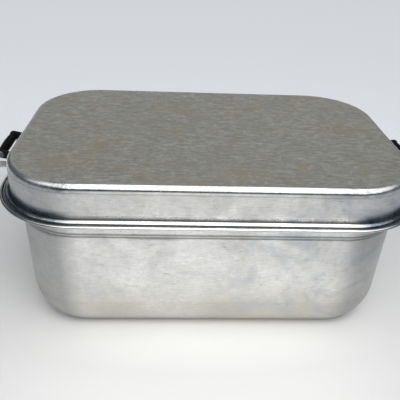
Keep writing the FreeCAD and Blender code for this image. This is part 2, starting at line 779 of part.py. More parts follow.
def check_and_export():
    """Stops on any failed feature or bad shape, and then writes one STEP file per node."""
    for item in doc.Objects:
        if "Invalid" in item.State or "Error" in item.State:
            raise RuntimeError(f"{item.Name} failed: {item.State}")
    for name, body in nodes.items():
        if body.Shape.isNull() or not body.Shape.isValid():
            raise RuntimeError(f"{name} has no valid shape")
    os.makedirs("parts", exist_ok=True)
    for name, body in nodes.items():
        body.Shape.exportStep(f"parts/{name}.step")
        box = body.Shape.BoundBox
        solids = len(body.Shape.Solids)
        print(f"{name}: {solids} solid(s), {body.Shape.Volume:.0f} mm3, {box}")


make_all()
check_and_export()
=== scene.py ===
"""Looks of the covered roasting pan: drawn shells, moulded grips, worn metal, soft studio."""

import json
import math
from types import SimpleNamespace

import bmesh
import bpy
from mathutils import Matrix, Vector, noise


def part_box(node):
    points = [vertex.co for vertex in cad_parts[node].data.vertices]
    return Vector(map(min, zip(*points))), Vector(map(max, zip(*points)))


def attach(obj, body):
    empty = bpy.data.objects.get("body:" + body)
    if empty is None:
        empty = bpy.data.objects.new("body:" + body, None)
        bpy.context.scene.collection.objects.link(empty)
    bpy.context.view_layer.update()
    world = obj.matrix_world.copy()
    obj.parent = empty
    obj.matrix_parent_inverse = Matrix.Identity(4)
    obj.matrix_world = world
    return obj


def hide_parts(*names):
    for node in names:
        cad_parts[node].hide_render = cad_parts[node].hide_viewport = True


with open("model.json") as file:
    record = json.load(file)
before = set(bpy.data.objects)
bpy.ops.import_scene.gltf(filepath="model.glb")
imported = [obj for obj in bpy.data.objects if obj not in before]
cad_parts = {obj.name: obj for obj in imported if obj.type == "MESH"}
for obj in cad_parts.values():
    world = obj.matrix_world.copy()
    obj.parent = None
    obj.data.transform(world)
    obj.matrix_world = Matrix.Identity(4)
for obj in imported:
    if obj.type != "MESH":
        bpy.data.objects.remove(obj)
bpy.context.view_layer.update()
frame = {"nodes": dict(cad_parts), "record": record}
MM = 0.001

# ---- sizes of the pans, in metres, from the frame where it states them; turns are in degrees --

_, BASE_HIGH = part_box("base_pan")
LID_LOW, LID_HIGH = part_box("lid_pan")
SHEET = 1.8 * MM
BASE_BEAD = 3.3 * MM
BEAD_TURN = 267
GAP_TURN = 205
RIM_REACH = 20.95 * MM
HALF_LENGTH = BASE_HIGH.x - RIM_REACH
HALF_WIDTH = BASE_HIGH.y - RIM_REACH
CORNER = 68.0 * MM
DRAFT = math.radians(0.85)

FOOT_TIGHT = 20.0 * MM
FOOT_OPEN = 58.0 * MM
FOOT_TIGHT_TURN = 52
COLLAR_LOW = 132.6 * MM
COLLAR_STEP = 0.9 * MM
STEP_SPACING = 3.8 * MM
STEP_TURN = 44
STEP_OUTER = 2.4 * MM
STEP_INNER = COLLAR_STEP / (1 - math.cos(math.radians(STEP_TURN))) - STEP_OUTER
STEP_RISE = (STEP_INNER + STEP_OUTER) * math.sin(math.radians(STEP_TURN))
LEDGE_TOP = BASE_HIGH.z - BASE_BEAD + SHEET
LEDGE_ROUND = 3.0 * MM

LID_REACH = 9.4 * MM
LID_SHOULDER = 6.8 * MM
CREASE_DROP = 2.2 * MM
CREASE_DEPTH = 0.12 * MM
CREASE_TURN = 24
LOW_WALL = 5.0 * MM
ROLL_RADIUS = 3.2 * MM
ROLL_CLEARANCE = 0.3 * MM
ROLL_REACH = LID_HIGH.x - HALF_LENGTH - ROLL_RADIUS - ROLL_CLEARANCE
ROLL_HEIGHT = LID_LOW.z + SHEET / 2
ROLL_START = 28
LIP_TURN = 40
LAST_TURN = 18

# How finely the shells are divided, and how uneven they are.
BEAD_PIECES = 18
CORNER_PIECES = 30
LONG_PIECES = 40
SHORT_PIECES = 20
CAP_RINGS = 22
BASE_DENTS = 0.35 * MM
LID_DENTS = 0.25 * MM
DENTED = ("wall", "low side", "inside")

# Grips: the rounding of their ends, how much the barrel narrows, and the height of the mould line.
GRIP_PIECES = 24
GRIP_SIDES = 48
GRIP_EDGE = 4.2 * MM
GRIP_END_PIECES = 6
GRIP_TAPER = 0.9 * MM
GRIP_SLACK = 0.05 * MM
SEAM_HEIGHT = 0.05 * MM
SEAM_START = 3.0 * MM

# How each stretch of a section looks: polish (0 satin, 1 bright), dirt and painted shade (1 is
# black: packed dirt with painted shade in the groove, gap and rim top, painted shade and dark
# reflection on the low wall, lip, crease, steps, foot and low side) and panel (1 on the flat of a
# pan). swept_pan adds a fourth look, corner.
LOOKS = {"flat": (0.0, 0.0, 1.0), "wall": (0.1, 0.0, 0.0), "foot": (0.25, 0.1, 0.0),
         "low side": (0.1, 0.07, 0.0), "step": (0.5, 0.62, 0.0), "collar": (0.3, 0.0, 0.0),
         "round": (0.9, 0.0, 0.0), "ledge": (0.5, 0.0, 0.0), "shoulder": (1.0, 0.0, 0.0),
         "crease": (0.4, 0.25, 0.0), "low wall": (0.9, 0.5, 0.0), "groove": (0.0, 1.0, 0.0),
         "lip": (0.8, 0.5, 0.0), "roll": (1.0, 0.0, 0.0), "bead": (1.0, 0.0, 0.0),
         "gap": (0.2, 1.0, 0.0), "rim top": (0.2, 0.42, 0.0), "inside": (0.2, 0.0, 0.0)}

# Colours of the worn aluminium. The grey of the corners and the blue-black of the band at the foot
# of the lid's wall are painted shade; the soot and the packed dirt are partly painted shade.
BRIGHT, DULL = (0.88, 0.88, 0.87), (0.70, 0.70, 0.685)
OLIVE, DEEP_OLIVE = (0.72, 0.72, 0.665), (0.57, 0.57, 0.51)
PATCHY, RUBBED, STREAKY = (0.43, 0.435, 0.42), (0.95, 0.95, 0.93), (0.36, 0.36, 0.34)
BROWN, TAN, BLUE = (0.50, 0.43, 0.29), (0.58, 0.55, 0.48), (0.50, 0.54, 0.59)
CORNER_SHADE_GREY, DARK, SOOT_AND_SHADE_BLUE = (0.32, 0.33, 0.33), (0.26, 0.255, 0.24), (0.10, 0.12, 0.155)
BAND_REFLECTION_BLUE_BLACK, DIRT_AND_SHADE_BLACK = (0.035, 0.075, 0.125), (0.010, 0.013, 0.019)

# Heights between which the worn aluminium changes: the tan foot of the base, the painted dark
# reflection in a band at the foot of the lid's wall, and the lid's shoulder, which turns satin at
# its corners and bears soot stains with painted shade near its ends.
TAN_LOW, TAN_HIGH = 0.035, 0.072
PAINTED_BAND_LOW, PAINTED_BAND_HIGH = 0.1645, 0.1700
SATIN_LOW, SATIN_HIGH = 0.164, 0.187
SOOT_AND_SHADE_LOW, SOOT_AND_SHADE_HIGH = 0.186, 0.189

# Three brown patches on the lid: their radius, and their centres over that radius, negated.
PATCH_REACH = 0.042
PATCHES = ((3.4, 1.9, -4.7), (-0.6, 2.6, -4.7), (-3.8, -0.25, -4.7))

# Camera: a little left of the middle, looking down by half a radian, rolled clockwise.
CAMERA_PLACE = (-0.0423, -0.5499, 0.4321)
CAMERA_PITCH, CAMERA_YAW, CAMERA_ROLL = 0.5418, 0.0633, 0.0491
CAMERA_LENS = 45
CAMERA_SENSOR = 36

# Floor, with light and shade painted on it: the painted pool of light's half width, and the shares
# of it where the painted shade starts and is darkest. A painted oval of light before the pan
# stands for the light its wall throws.
FLOOR_REACH = 3.0
PAINTED_POOL_HALF_WIDTH = 0.42
PAINTED_SHADE_START = 0.38
PAINTED_SHADE_FULL = 1.32
PAINTED_THROWN_HALF_WIDTH = 0.22
PAINTED_THROWN_HALF_DEPTH = 0.06

# Room: the broad light's elevation, its turn to the right, its edges in degrees from its middle
# and its strength, a small second light at the left with the cosines of its edges, and the
# colours of the room.
CAP_ELEVATION = 65
CAP_SIDE = 26
CAP_INNER = 38
CAP_OUTER = 53
CAP_LIGHT = 1.75
SIDE_AIM = (-0.70, -0.22, 0.68)
SIDE_EDGES = (0.965, 0.99)
SIDE_LIGHT = 1.3
LOW_ROOM, BACK_OF_ROOM, CEILING = (0.06, 0.072, 0.09), (0.36, 0.36, 0.345), (0.26, 0.27, 0.29)


# ---- sheet-metal sections -------------------------------------------------------------------


class Section:
    """A path in the (outwards, up) plane, drawn as runs and bends, with a tag on each stretch."""

    def __init__(self, start, heading):
        self.at = Vector(start)
        self.heading = math.radians(heading)
        self.points = [self.at.copy()]
        self.headings = [self.heading]
        self.tags = ["flat"]

    def add(self, tag):
        self.points.append(self.at.copy())
        self.headings.append(self.heading)
        self.tags.append(tag)

    def run(self, length, tag, pieces=1):
        step = Vector((math.cos(self.heading), math.sin(self.heading))) * (length / pieces)
        for _ in range(pieces):
            self.at = self.at + step
            self.add(tag)

    def bend(self, radius, degrees, tag, pieces=8):
        """Turns left for positive degrees, as a chain of short chords."""
        turn = math.radians(degrees) / pieces
        chord = 2 * radius * math.sin(abs(turn) / 2)
        for _ in range(pieces):
            middle = self.heading + turn / 2
            self.at = self.at + Vector((math.cos(middle), math.sin(middle))) * chord
            self.heading += turn
            self.add(tag)

    def level(self, height, tag, pieces=1):
        """Runs on along the heading to a height."""
        self.run((height - self.at.y) / math.sin(self.heading), tag, pieces)

    def reach(self, outwards, tag, pieces=1):
        """Runs on along the heading to a distance outwards."""
        self.run((outwards - self.at.x) / math.cos(self.heading), tag, pieces)

    def shift(self, move):
        for point in self.points:
            point += move
        self.at = self.points[-1].copy()


def closed_section(path, edge_diameter, edge_turn, side):
    """Joins both faces of the sheet round its edge: points, outward pushes and tags.

    side is 1 where the sheet lies to the left of the path, and -1 where it lies to the right.
    """
    lefts = [Vector((-math.sin(h), math.cos(h))) * side for h in path.headings]
    points = [point.copy() for point in path.points]
    pushes = [-left for left in lefts]
    tags = list(path.tags)
    radius = edge_diameter / 2
    centre = path.at + lefts[-1] * radius
    start_angle = path.heading - side * math.pi / 2
    for number in range(1, BEAD_PIECES + 1):
        turn = edge_turn * number / BEAD_PIECES
        angle = start_angle + side * math.radians(turn)
        points.append(centre + Vector((math.cos(angle), math.sin(angle))) * radius)
        pushes.append(-lefts[-1])
        tags.append("bead" if turn < GAP_TURN else "gap")
    for point, left, tag in reversed(list(zip(path.points, lefts, path.tags))[:-1]):
        points.append(point + left * SHEET)
        pushes.append(-left)
        tags.append("rim top" if tag == "ledge" else "inside")
    return points, pushes, tags


def base_section():
    """Deep pan: outside face from the flat bottom up to the rolled edge."""
    draft = math.degrees(DRAFT)
    path = Section((0, 0), 0)
    path.bend(FOOT_TIGHT, FOOT_TIGHT_TURN, "foot", 14)
    path.bend(FOOT_OPEN, 90 - FOOT_TIGHT_TURN - draft, "low side", 14)
    path.level(COLLAR_LOW - STEP_RISE / 2, "wall", 30)
    wall_top = path.points[-1].copy()
    for _ in range(2):
        path.bend(STEP_INNER, -STEP_TURN, "step", 4)
        path.bend(STEP_OUTER, STEP_TURN, "step", 6)
        path.run(STEP_SPACING - STEP_RISE, "collar", 1)
    path.level(LEDGE_TOP - SHEET - LEDGE_ROUND, "collar", 6)
    path.bend(LEDGE_ROUND, -90 + draft, "round", 12)
    path.shift(Vector((-wall_top.x, LEDGE_TOP - SHEET - path.at.y)))
    path.points[0].y = 0
    path.reach(RIM_REACH - BASE_BEAD / 2, "ledge", 5)
    return path


def lid_section():
    """Lid: outside face from the top panel down the wall, up out of a groove and over a roll."""
    draft = math.degrees(DRAFT)
    path = Section((0, LID_HIGH.z), 0)
    path.bend(LID_SHOULDER, -90 + draft, "shoulder", 16)
    path.run(CREASE_DROP / 2, "shoulder", 1)
    for turn in (-CREASE_TURN, 2 * CREASE_TURN, -CREASE_TURN):
        path.run(CREASE_DEPTH, "crease", 1)
        path.bend(CREASE_DEPTH, turn, "crease", 2)
    roll_start = math.radians(ROLL_START)
    groove_out = ROLL_REACH - ROLL_RADIUS * math.cos(roll_start)
    groove_up = ROLL_HEIGHT + ROLL_RADIUS * math.sin(roll_start)
    groove_turn = 180 - ROLL_START - draft
    groove_radius = (groove_out - LID_REACH) / (1 + math.cos(roll_start))
    wall_low = groove_up + groove_radius * math.sin(roll_start)
    path.level(wall_low + LOW_WALL, "wall", 12)
    path.level(wall_low, "low wall", 4)
    path.bend(groove_radius, groove_turn, "groove", 10)
    path.shift(Vector((groove_out - path.at.x, 0)))
    path.bend(ROLL_RADIUS, -LIP_TURN, "lip", 4)
    path.bend(ROLL_RADIUS, ROLL_START + LIP_TURN + LAST_TURN - 180, "roll", 14)
    path.bend(ROLL_RADIUS, -LAST_TURN, "gap", 4)
    return path


# ---- pans swept round the plan --------------------------------------------------------------


def plan_stations():
    """Points, outward normals and running lengths round the plan outline, anticlockwise."""
    straight_x, straight_y = HALF_LENGTH - CORNER, HALF_WIDTH - CORNER
    stations = []
    corners = [(straight_x, straight_y), (-straight_x, straight_y),
               (-straight_x, -straight_y), (straight_x, -straight_y)]
    for number, centre in enumerate(corners):
        for step in range(CORNER_PIECES + 1):
            angle = math.pi / 2 * (number + step / CORNER_PIECES)
            normal = Vector((math.cos(angle), math.sin(angle), 0))
            stations.append((Vector((*centre, 0)) + normal * CORNER, normal))
        following = corners[(number + 1) % 4]
        pieces = LONG_PIECES if number % 2 == 0 else SHORT_PIECES
        normal = stations[-1][1]
        for step in range(1, pieces):
            centre_now = Vector((*centre, 0)).lerp(Vector((*following, 0)), step / pieces)
            stations.append((centre_now + normal * CORNER, normal))
    lengths = [0.0]
    for (here, _), (there, _) in zip(stations, stations[1:] + stations[:1]):
        lengths.append(lengths[-1] + (there - here).length)
    return stations, lengths


def dent(place, seed):
    """Slight unevenness of well-used sheet, from -1 to 1."""
    broad = noise.noise(place * 11 + Vector((seed, 0, 0)))
    fine = noise.noise(place * 34 + Vector((0, seed, 0)))
    return 0.75 * broad + 0.25 * fine


def swept_pan(name, section, seed, dent_depth):
    """Builds a pan from its closed section, and closes both faces of its flat panel.

    The looks come from LOOKS, and corner, which is 0 on the straights and 1 at the middle of a
    corner.
    """
    points, pushes, tags = section
    stations, lengths = plan_stations()
    count = len(stations)
    heights = [0.0]
    for here, there in zip(points, points[1:]):
        heights.append(heights[-1] + (there - here).length)
    places, looks, marks = [], [], []

    def add_ring(ring_places, push, depth, tag, mark):
        for place, normal in zip(ring_places, (n for _, n in stations)):
            direction = normal * push.x + Vector((0, 0, push.y))
            places.append(place + direction * depth * dent(place, seed))
            looks.append((*LOOKS[tag], abs(2 * normal.x * normal.y)))
            marks.append(mark)

    def flat_rings(point, push, mark, outwards):
        """Rings from the middle line of the panel to its edge, or back again."""
        spine = HALF_LENGTH - HALF_WIDTH
        rings = []
        for step in range(CAP_RINGS):
            share = step / CAP_RINGS
            ring = []
            for foot, normal in stations:
                edge = foot + normal * point.x
                middle = Vector((max(-spine, min(spine, edge.x)), 0, 0))
                ring.append(middle.lerp(edge, share) + Vector((0, 0, point.y)))
            rings.append((ring, mark + (share - 1) * HALF_WIDTH))
        for ring, ring_mark in rings if outwards else reversed(rings):
            add_ring(ring, push, 0.0, "flat", ring_mark)

    flat_rings(points[0], pushes[0], 0.0, True)
    for point, push, tag, height in zip(points, pushes, tags, heights):
        ring = [foot + normal * point.x + Vector((0, 0, point.y)) for foot, normal in stations]
        add_ring(ring, push, dent_depth if tag in DENTED else 0.0, tag, height)
    flat_rings(points[-1], pushes[-1], heights[-1], False)

    rings = len(places) // count
    faces, loops = [], []
    for ring in range(rings - 1):
        for station in range(count):
            following = (station + 1) % count
            low, high = ring * count, (ring + 1) * count
            faces.append((low + station, low + following, high + following, high + station))
            left, right = lengths[station], lengths[station + 1]
            loops += [(left, marks[low]), (right, marks[low]),
                      (right, marks[high]), (left, marks[high])]
    mesh = bpy.data.meshes.new(name)
    mesh.from_pydata(places, [], faces)
    layer = mesh.uv_layers.new(name="around")
    for number, pair in enumerate(loops):
        layer.data[number].uv = pair
    for number, look in enumerate(("polish", "grime_and_shade", "panel", "corner")):
        attribute = mesh.attributes.new(look, "FLOAT", "POINT")
        attribute.data.foreach_set("value", [values[number] for values in looks])
    return finish_mesh(mesh)


def finish_mesh(mesh):
    """Merges doubled points, makes the faces point outwards and shades them smooth."""
    work = bmesh.new()
    work.from_mesh(mesh)
    bmesh.ops.remove_doubles(work, verts=work.verts, dist=1e-6)
    bmesh.ops.dissolve_degenerate(work, edges=work.edges, dist=1e-7)
    bmesh.ops.recalc_face_normals(work, faces=work.faces)
    for face in work.faces:
        face.smooth = True
    work.to_mesh(mesh)
    work.free()
    return mesh


def add_piece(mesh, material, body, slot, *replaced):
    """Puts a piece in the scene, on its body, with its material, and hides the nodes it stands
    for.
    """
    piece = bpy.data.objects.new(mesh.name, mesh)
    bpy.context.scene.collection.objects.link(piece)
    mesh.materials.clear()
    mesh.materials.append(material)
    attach(piece, body)
    if replaced:
        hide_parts(*replaced)
    return piece


# ---- materials ------------------------------------------------------------------------------


class Nodes:
    """Short forms for building one material's node tree."""

    def __init__(self, name):
        self.material = bpy.data.materials.new(name)
        self.material.use_nodes = True
        self.tree = self.material.node_tree
        self.shader = self.tree.nodes["Principled BSDF"]
        self.coords = self.tree.nodes.new("ShaderNodeTexCoord")

    def link(self, source, target):
        self.tree.links.new(source, target)

    def place(self, source, scale, turn=(0, 0, 0), shift=(0, 0, 0)):
        """Stretches, turns and shifts coordinates before a texture reads them."""
        mapping = self.tree.nodes.new("ShaderNodeMapping")
        mapping.inputs["Location"].default_value = shift
        mapping.inputs["Scale"].default_value = scale
        mapping.inputs["Rotation"].default_value = turn
        self.link(source, mapping.inputs["Vector"])
        return mapping.outputs["Vector"]

    def noise(self, vector, scale, detail=4.0, rough=0.55, twist=0.0):
        texture = self.tree.nodes.new("ShaderNodeTexNoise")
        texture.inputs["Scale"].default_value = scale
        texture.inputs["Detail"].default_value = detail
        texture.inputs["Roughness"].default_value = rough
        texture.inputs["Distortion"].default_value = twist
        self.link(vector, texture.inputs["Vector"])
        return texture.outputs["Fac"]

    def cells(self, vector, scale):
        texture = self.tree.nodes.new("ShaderNodeTexVoronoi")
        texture.inputs["Scale"].default_value = scale
        self.link(vector, texture.inputs["Vector"])
        return texture.outputs["Distance"]

    def ramp(self, value, low, high, start=0.0, end=1.0):
        """Maps a value from low..high to start..end, and clamps it."""
        node = self.tree.nodes.new("ShaderNodeMapRange")
        node.inputs["From Min"].default_value = low
        node.inputs["From Max"].default_value = high
        node.inputs["To Min"].default_value = start
        node.inputs["To Max"].default_value = end
        self.link(value, node.inputs["Value"])
        return node.outputs["Result"]

    def soft_ramp(self, value, low, high):
        """A ramp from 0 to 1 that starts and ends gently."""
        result = self.ramp(value, low, high)
        result.node.interpolation_type = "SMOOTHSTEP"
        return result

    def math(self, kind, first, second):
        node = self.tree.nodes.new("ShaderNodeMath")
        node.operation = kind
        for socket, value in zip(node.inputs, (first, second)):
            if isinstance(value, (int, float)):
                socket.default_value = value
            else:
                self.link(value, socket)
        return node.outputs["Value"]

    def times(self, first, second):
        return self.math("MULTIPLY", first, second)

    def plus(self, first, second):
        return self.math("ADD", first, second)

    def most(self, first, second):
        return self.math("MAXIMUM", first, second)

    def mix(self, share, first, second):
        """Mixes two colours, each a tuple or a socket."""
        node = self.tree.nodes.new("ShaderNodeMix")
        node.data_type = "RGBA"
        self.link(share, node.inputs["Factor"])
        for socket, value in ((node.inputs[6], first), (node.inputs[7], second)):
            if isinstance(value, tuple):
                socket.default_value = (*value, 1.0)
            else:
                self.link(value, socket)
        return node.outputs[2]

    def tint(self, colour, share, strength, towards):
        """Mixes a colour towards another by a share, at a strength."""
        return self.mix(self.times(share, strength), colour, towards)

    def choose(self, share, first, second):
        """Mixes two values."""
        node = self.tree.nodes.new("ShaderNodeMix")
        for socket, value in zip(node.inputs, (share, None, first, second)):
            if value is not None:
                self.link(value, socket)
        return node.outputs["Result"]

    def attribute(self, name):
        node = self.tree.nodes.new("ShaderNodeAttribute")
        node.attribute_name = name
        return node.outputs["Fac"]

    def bump(self, height, distance, strength=1.0, under=None):
        node = self.tree.nodes.new("ShaderNodeBump")
        node.inputs["Distance"].default_value = distance
        node.inputs["Strength"].default_value = strength
        self.link(height, node.inputs["Height"])
        if under is not None:
            self.link(under, node.inputs["Normal"])
        return node.outputs["Normal"]

    def size(self, value):
        """The value without its sign."""
        node = self.tree.nodes.new("ShaderNodeMath")
        node.operation = "ABSOLUTE"
        self.link(value, node.inputs[0])
        return node.outputs["Value"]

    def length(self, vector):
        node = self.tree.nodes.new("ShaderNodeVectorMath")
        node.operation = "LENGTH"
        self.link(vector, node.inputs[0])
        return node.outputs["Value"]

    def separate(self, vector):
        node = self.tree.nodes.new("ShaderNodeSeparateXYZ")
        self.link(vector, node.inputs["Vector"])
        return node.outputs


def read_looks(n):
    """The looks on the mesh, with the shoulder and rim of the lid less bright at its corners."""
    polish, grime_and_shade, panel, corner = (n.attribute(look)
                                    for look in ("polish", "grime_and_shade", "panel", "corner"))
    across, _, height = n.separate(n.coords.outputs["Object"])
    satin = n.times(n.ramp(height, SATIN_LOW, SATIN_HIGH, 0.35, 1.0),
                    n.ramp(corner, 0.1, 0.7, 0.0, 0.7))
    polish = n.times(polish, n.math("SUBTRACT", 1.0, satin))
    return SimpleNamespace(polish=polish, grime_and_shade=grime_and_shade, panel=panel, corner=corner,
                           across=across, height=height)


def wear_textures(n, look):
    """Grain, blotches, mottling, pits, scuffs, stains and drips, as values from 0 to 1."""
    position = n.coords.outputs["Object"]
    around = n.coords.outputs["UV"]
    wear = SimpleNamespace()
    panel_grain = n.noise(n.place(position, (80, 620, 620)), 1.0, 4.0, 0.7)
    wall_grain = n.noise(n.place(around, (70, 760, 1)), 1.0, 4.0, 0.65)
    wear.grain = n.choose(look.panel, wall_grain, panel_grain)
    wear.blotch = n.noise(position, 22, 5.0, 0.6, 0.4)
    wear.broad = n.noise(position, 7, 3.0, 0.5)
    wear.mottling = n.noise(position, 190, 5.0, 0.72)
    pits = n.ramp(n.cells(position, 190), 0.13, 0.03)
    wear.pits = n.times(pits, n.ramp(n.noise(position, 40, 2.0), 0.50, 0.60))
    scuffs = n.noise(n.place(position, (60, 900, 300), (0, 0, 0.5)), 1.0, 2.0)
    wear.scuffs = n.ramp(scuffs, 0.68, 0.74)
    stain = n.ramp(n.noise(n.place(position, (13, 19, 19)), 1.0, 4.0, 0.6, 0.6), 0.56, 0.70)
    specks = n.ramp(n.noise(n.place(position, (38, 60, 60)), 1.0, 4.0, 0.6, 0.5), 0.55, 0.66)
    stain = n.most(stain, n.times(specks, 0.8))
    stain = n.times(stain, n.ramp(look.panel, 0.0, 1.0, 0.35, 1.0))
    patches = [n.ramp(n.length(n.place(position, (1 / PATCH_REACH,) * 3, shift=shift)), 1.0, 0.2)
               for shift in PATCHES]
    patch = n.most(n.most(patches[0], patches[1]), patches[2])
    patch = n.times(patch, n.ramp(wear.mottling, 0.40, 0.56))
    wear.stain = n.most(stain, n.times(patch, look.panel))
    wear.drip = n.ramp(n.noise(n.place(position, (60, 60, 11)), 1.0, 3.0, 0.6), 0.60, 0.74)
    wear.bluish = n.ramp(n.noise(position, 17, 5.0, 0.62, 0.8), 0.52, 0.62)
    # Soot stains, also used as painted shade at the ends of the shoulder's highlight.
    wear.smudge = n.ramp(n.noise(position, 110, 6.0, 0.75), 0.42, 0.60)
    return wear


def clean_colour(n, look, wear):
    """Bright and dull metal on the walls, olive tarnish on the panel, and the grain of both."""
    colour = n.mix(n.ramp(wear.blotch, 0.35, 0.70), BRIGHT, DULL)
    tarnish = n.mix(n.ramp(wear.blotch, 0.38, 0.66), OLIVE, DEEP_OLIVE)
    colour = n.tint(colour, look.panel, 0.85, tarnish)
    strength = n.ramp(look.panel, 0.0, 1.0, 0.19, 0.78)
    colour = n.tint(colour, n.ramp(wear.mottling, 0.46, 0.66), strength, PATCHY)
    colour = n.tint(colour, n.ramp(wear.mottling, 0.47, 0.30), strength, RUBBED)
    return n.tint(colour, n.ramp(wear.grain, 0.44, 0.62), strength, STREAKY)


def stained_colour(n, look, wear, colour, stain_level):
    """Adds brown stains and drips, a tan foot and bluish patches, more of them at the right."""
    colour = n.tint(colour, wear.stain, stain_level, BROWN)
    colour = n.tint(colour, wear.drip, 0.25 * stain_level, BROWN)
    low = n.times(n.ramp(look.height, TAN_HIGH, TAN_LOW), n.ramp(wear.broad, 0.36, 0.62, 0.5, 1.0))
    colour = n.tint(colour, low, 0.85, TAN)
    bluish = n.times(wear.bluish, n.ramp(look.panel, 1.0, 0.0))
    bluish = n.times(bluish, n.ramp(look.across, 0.0, 0.11, 0.35, 1.0))
    return n.tint(colour, bluish, 0.7, BLUE)


def dirty_colour(n, look, wear, colour, painted_corner_shade, painted_band_reflection):
    """Adds pits and scuffs, grey corners as painted shade, soot stains with painted shade near the
    ends of the shoulder, a painted dark reflection at the foot of the lid's wall, and packed dirt
    with painted shade.
    """
    # Painted shade: the corners greyed, unevenly with the mottling, for the dark floor they
    # reflect.
    dull = n.times(n.ramp(look.corner, 0.0, 0.6), n.ramp(wear.mottling, 0.38, 0.60, 1.0, 0.72))
    colour = n.tint(colour, dull, painted_corner_shade, CORNER_SHADE_GREY)
    colour = n.tint(colour, wear.pits, 0.8, DARK)
    colour = n.tint(colour, wear.scuffs, 0.35, DARK)
    # Soot stains on the polished shoulder near the ends of its long sides; they are also painted
    # shade that ends the shoulder's highlight there.
    from_middle = n.size(look.across)
    smudge = n.times(wear.smudge, look.polish)
    smudge = n.times(smudge, n.ramp(look.height, SOOT_AND_SHADE_LOW, SOOT_AND_SHADE_HIGH))
    smudge = n.times(smudge, n.ramp(from_middle, 0.115, 0.150))
    smudge = n.times(smudge, n.ramp(from_middle, 0.185, 0.165))
    colour = n.tint(colour, smudge, 0.75, SOOT_AND_SHADE_BLUE)
    # Painted dark reflection: a blue-black band at the foot of the lid's wall at its corners,
    # broken by the mottling.
    band = n.times(n.ramp(look.height, PAINTED_BAND_HIGH, PAINTED_BAND_LOW), n.ramp(look.corner, 0.0, 0.4))
    band = n.times(band, n.ramp(wear.mottling, 0.36, 0.62, 1.0, 0.6))
    colour = n.tint(colour, band, painted_band_reflection, BAND_REFLECTION_BLUE_BLACK)
    # Packed dirt, and painted shade and dark reflection, as set for each stretch of the section.
    return n.tint(colour, look.grime_and_shade, 0.93, DIRT_AND_SHADE_BLACK)


def pan_aluminium(name, stain_level, painted_corner_shade, painted_band_reflection):
    """Worn drawn aluminium: brushed grain, blotches, pits, scratches, stains, packed dirt and
    painted shade.

    The third argument greys the whole corners as painted shade, and the fourth paints a dark
    reflection in a band at the foot of their walls.
    """
    n = Nodes(name)
    look = read_looks(n)
    wear = wear_textures(n, look)
    colour = clean_colour(n, look, wear)
    colour = stained_colour(n, look, wear, colour, stain_level)
    colour = dirty_colour(n, look, wear, colour, painted_corner_shade, painted_band_reflection)
    n.link(colour, n.shader.inputs["Base Color"])
    n.link(n.ramp(look.grime_and_shade, 0.0, 1.0, 1.0, 0.6), n.shader.inputs["Metallic"])

    rough = n.ramp(look.polish, 0.0, 1.0, 0.34, 0.13)
    for texture, high in ((wear.blotch, 0.07), (wear.grain, 0.06), (wear.mottling, 0.06)):
        rough = n.plus(rough, n.ramp(texture, 0.3, 0.7, -0.05, high))
    rough = n.plus(rough, n.ramp(wear.stain, 0.0, 1.0, 0.0, 0.08 * stain_level))
    rough = n.plus(rough, n.times(wear.scuffs, 0.08))
    rough = n.plus(rough, n.times(look.grime_and_shade, 0.25))
    n.link(rough, n.shader.inputs["Roughness"])

    normal = n.bump(wear.grain, 0.00004, 0.5)
    normal = n.bump(wear.mottling, 0.00016, 0.7, normal)
    normal = n.bump(wear.broad, 0.0012, 0.3, normal)
    normal = n.bump(n.math("SUBTRACT", 1.0, wear.pits), 0.0002, 0.8, normal)
    n.link(normal, n.shader.inputs["Normal"])
    return n.material


def fitting_metal(name, colour, rough_low, rough_high):
    """Small stamped or turned metal pieces, with a fine grain and dirt in patches."""
    n = Nodes(name)
    position = n.coords.outputs["Object"]
    patch = n.noise(position, 180, 4.0, 0.6)
    grain = n.noise(n.place(position, (300, 2600, 2600)), 1.0, 2.0)
    dirty = tuple(0.62 * part for part in colour)
    n.link(n.mix(n.ramp(patch, 0.45, 0.75), colour, dirty), n.shader.inputs["Base Color"])
    n.shader.inputs["Metallic"].default_value = 1.0
    n.link(n.ramp(patch, 0.3, 0.7, rough_low, rough_high), n.shader.inputs["Roughness"])
    n.link(n.bump(grain, 0.00003, 0.6), n.shader.inputs["Normal"])
    return n.material


def phenolic(name):
    """Black moulded phenolic, worn slightly dull, with fine scratches."""
    n = Nodes(name)
    position = n.coords.outputs["Object"]
    patch = n.noise(position, 120, 4.0, 0.6)
    scratches = n.noise(n.place(position, (2400, 260, 2400)), 1.0, 2.0)
    colour = n.mix(n.ramp(patch, 0.4, 0.8), (0.002, 0.002, 0.002), (0.006, 0.005, 0.005))
    n.link(colour, n.shader.inputs["Base Color"])
    n.link(n.ramp(patch, 0.3, 0.7, 0.36, 0.5), n.shader.inputs["Roughness"])
    n.link(n.bump(scratches, 0.00002, 0.5), n.shader.inputs["Normal"])
    n.shader.inputs["Specular IOR Level"].default_value = 0.04
    return n.material


def stoved_black(name):
    """Black stoved paint on pressed strap, rubbed back to grey metal in small patches."""
    n = Nodes(name)
    position = n.coords.outputs["Object"]
    patch = n.noise(position, 260, 4.0, 0.65)
    worn = n.ramp(patch, 0.66, 0.70)
    colour = n.mix(n.ramp(patch, 0.3, 0.7), (0.006, 0.006, 0.006), (0.018, 0.017, 0.016))
    n.link(n.mix(worn, colour, (0.42, 0.42, 0.41)), n.shader.inputs["Base Color"])
    n.link(worn, n.shader.inputs["Metallic"])
    n.link(n.ramp(patch, 0.3, 0.7, 0.40, 0.55), n.shader.inputs["Roughness"])
    n.link(n.bump(patch, 0.00003, 0.6), n.shader.inputs["Normal"])
    n.shader.inputs["Specular IOR Level"].default_value = 0.08
    return n.material


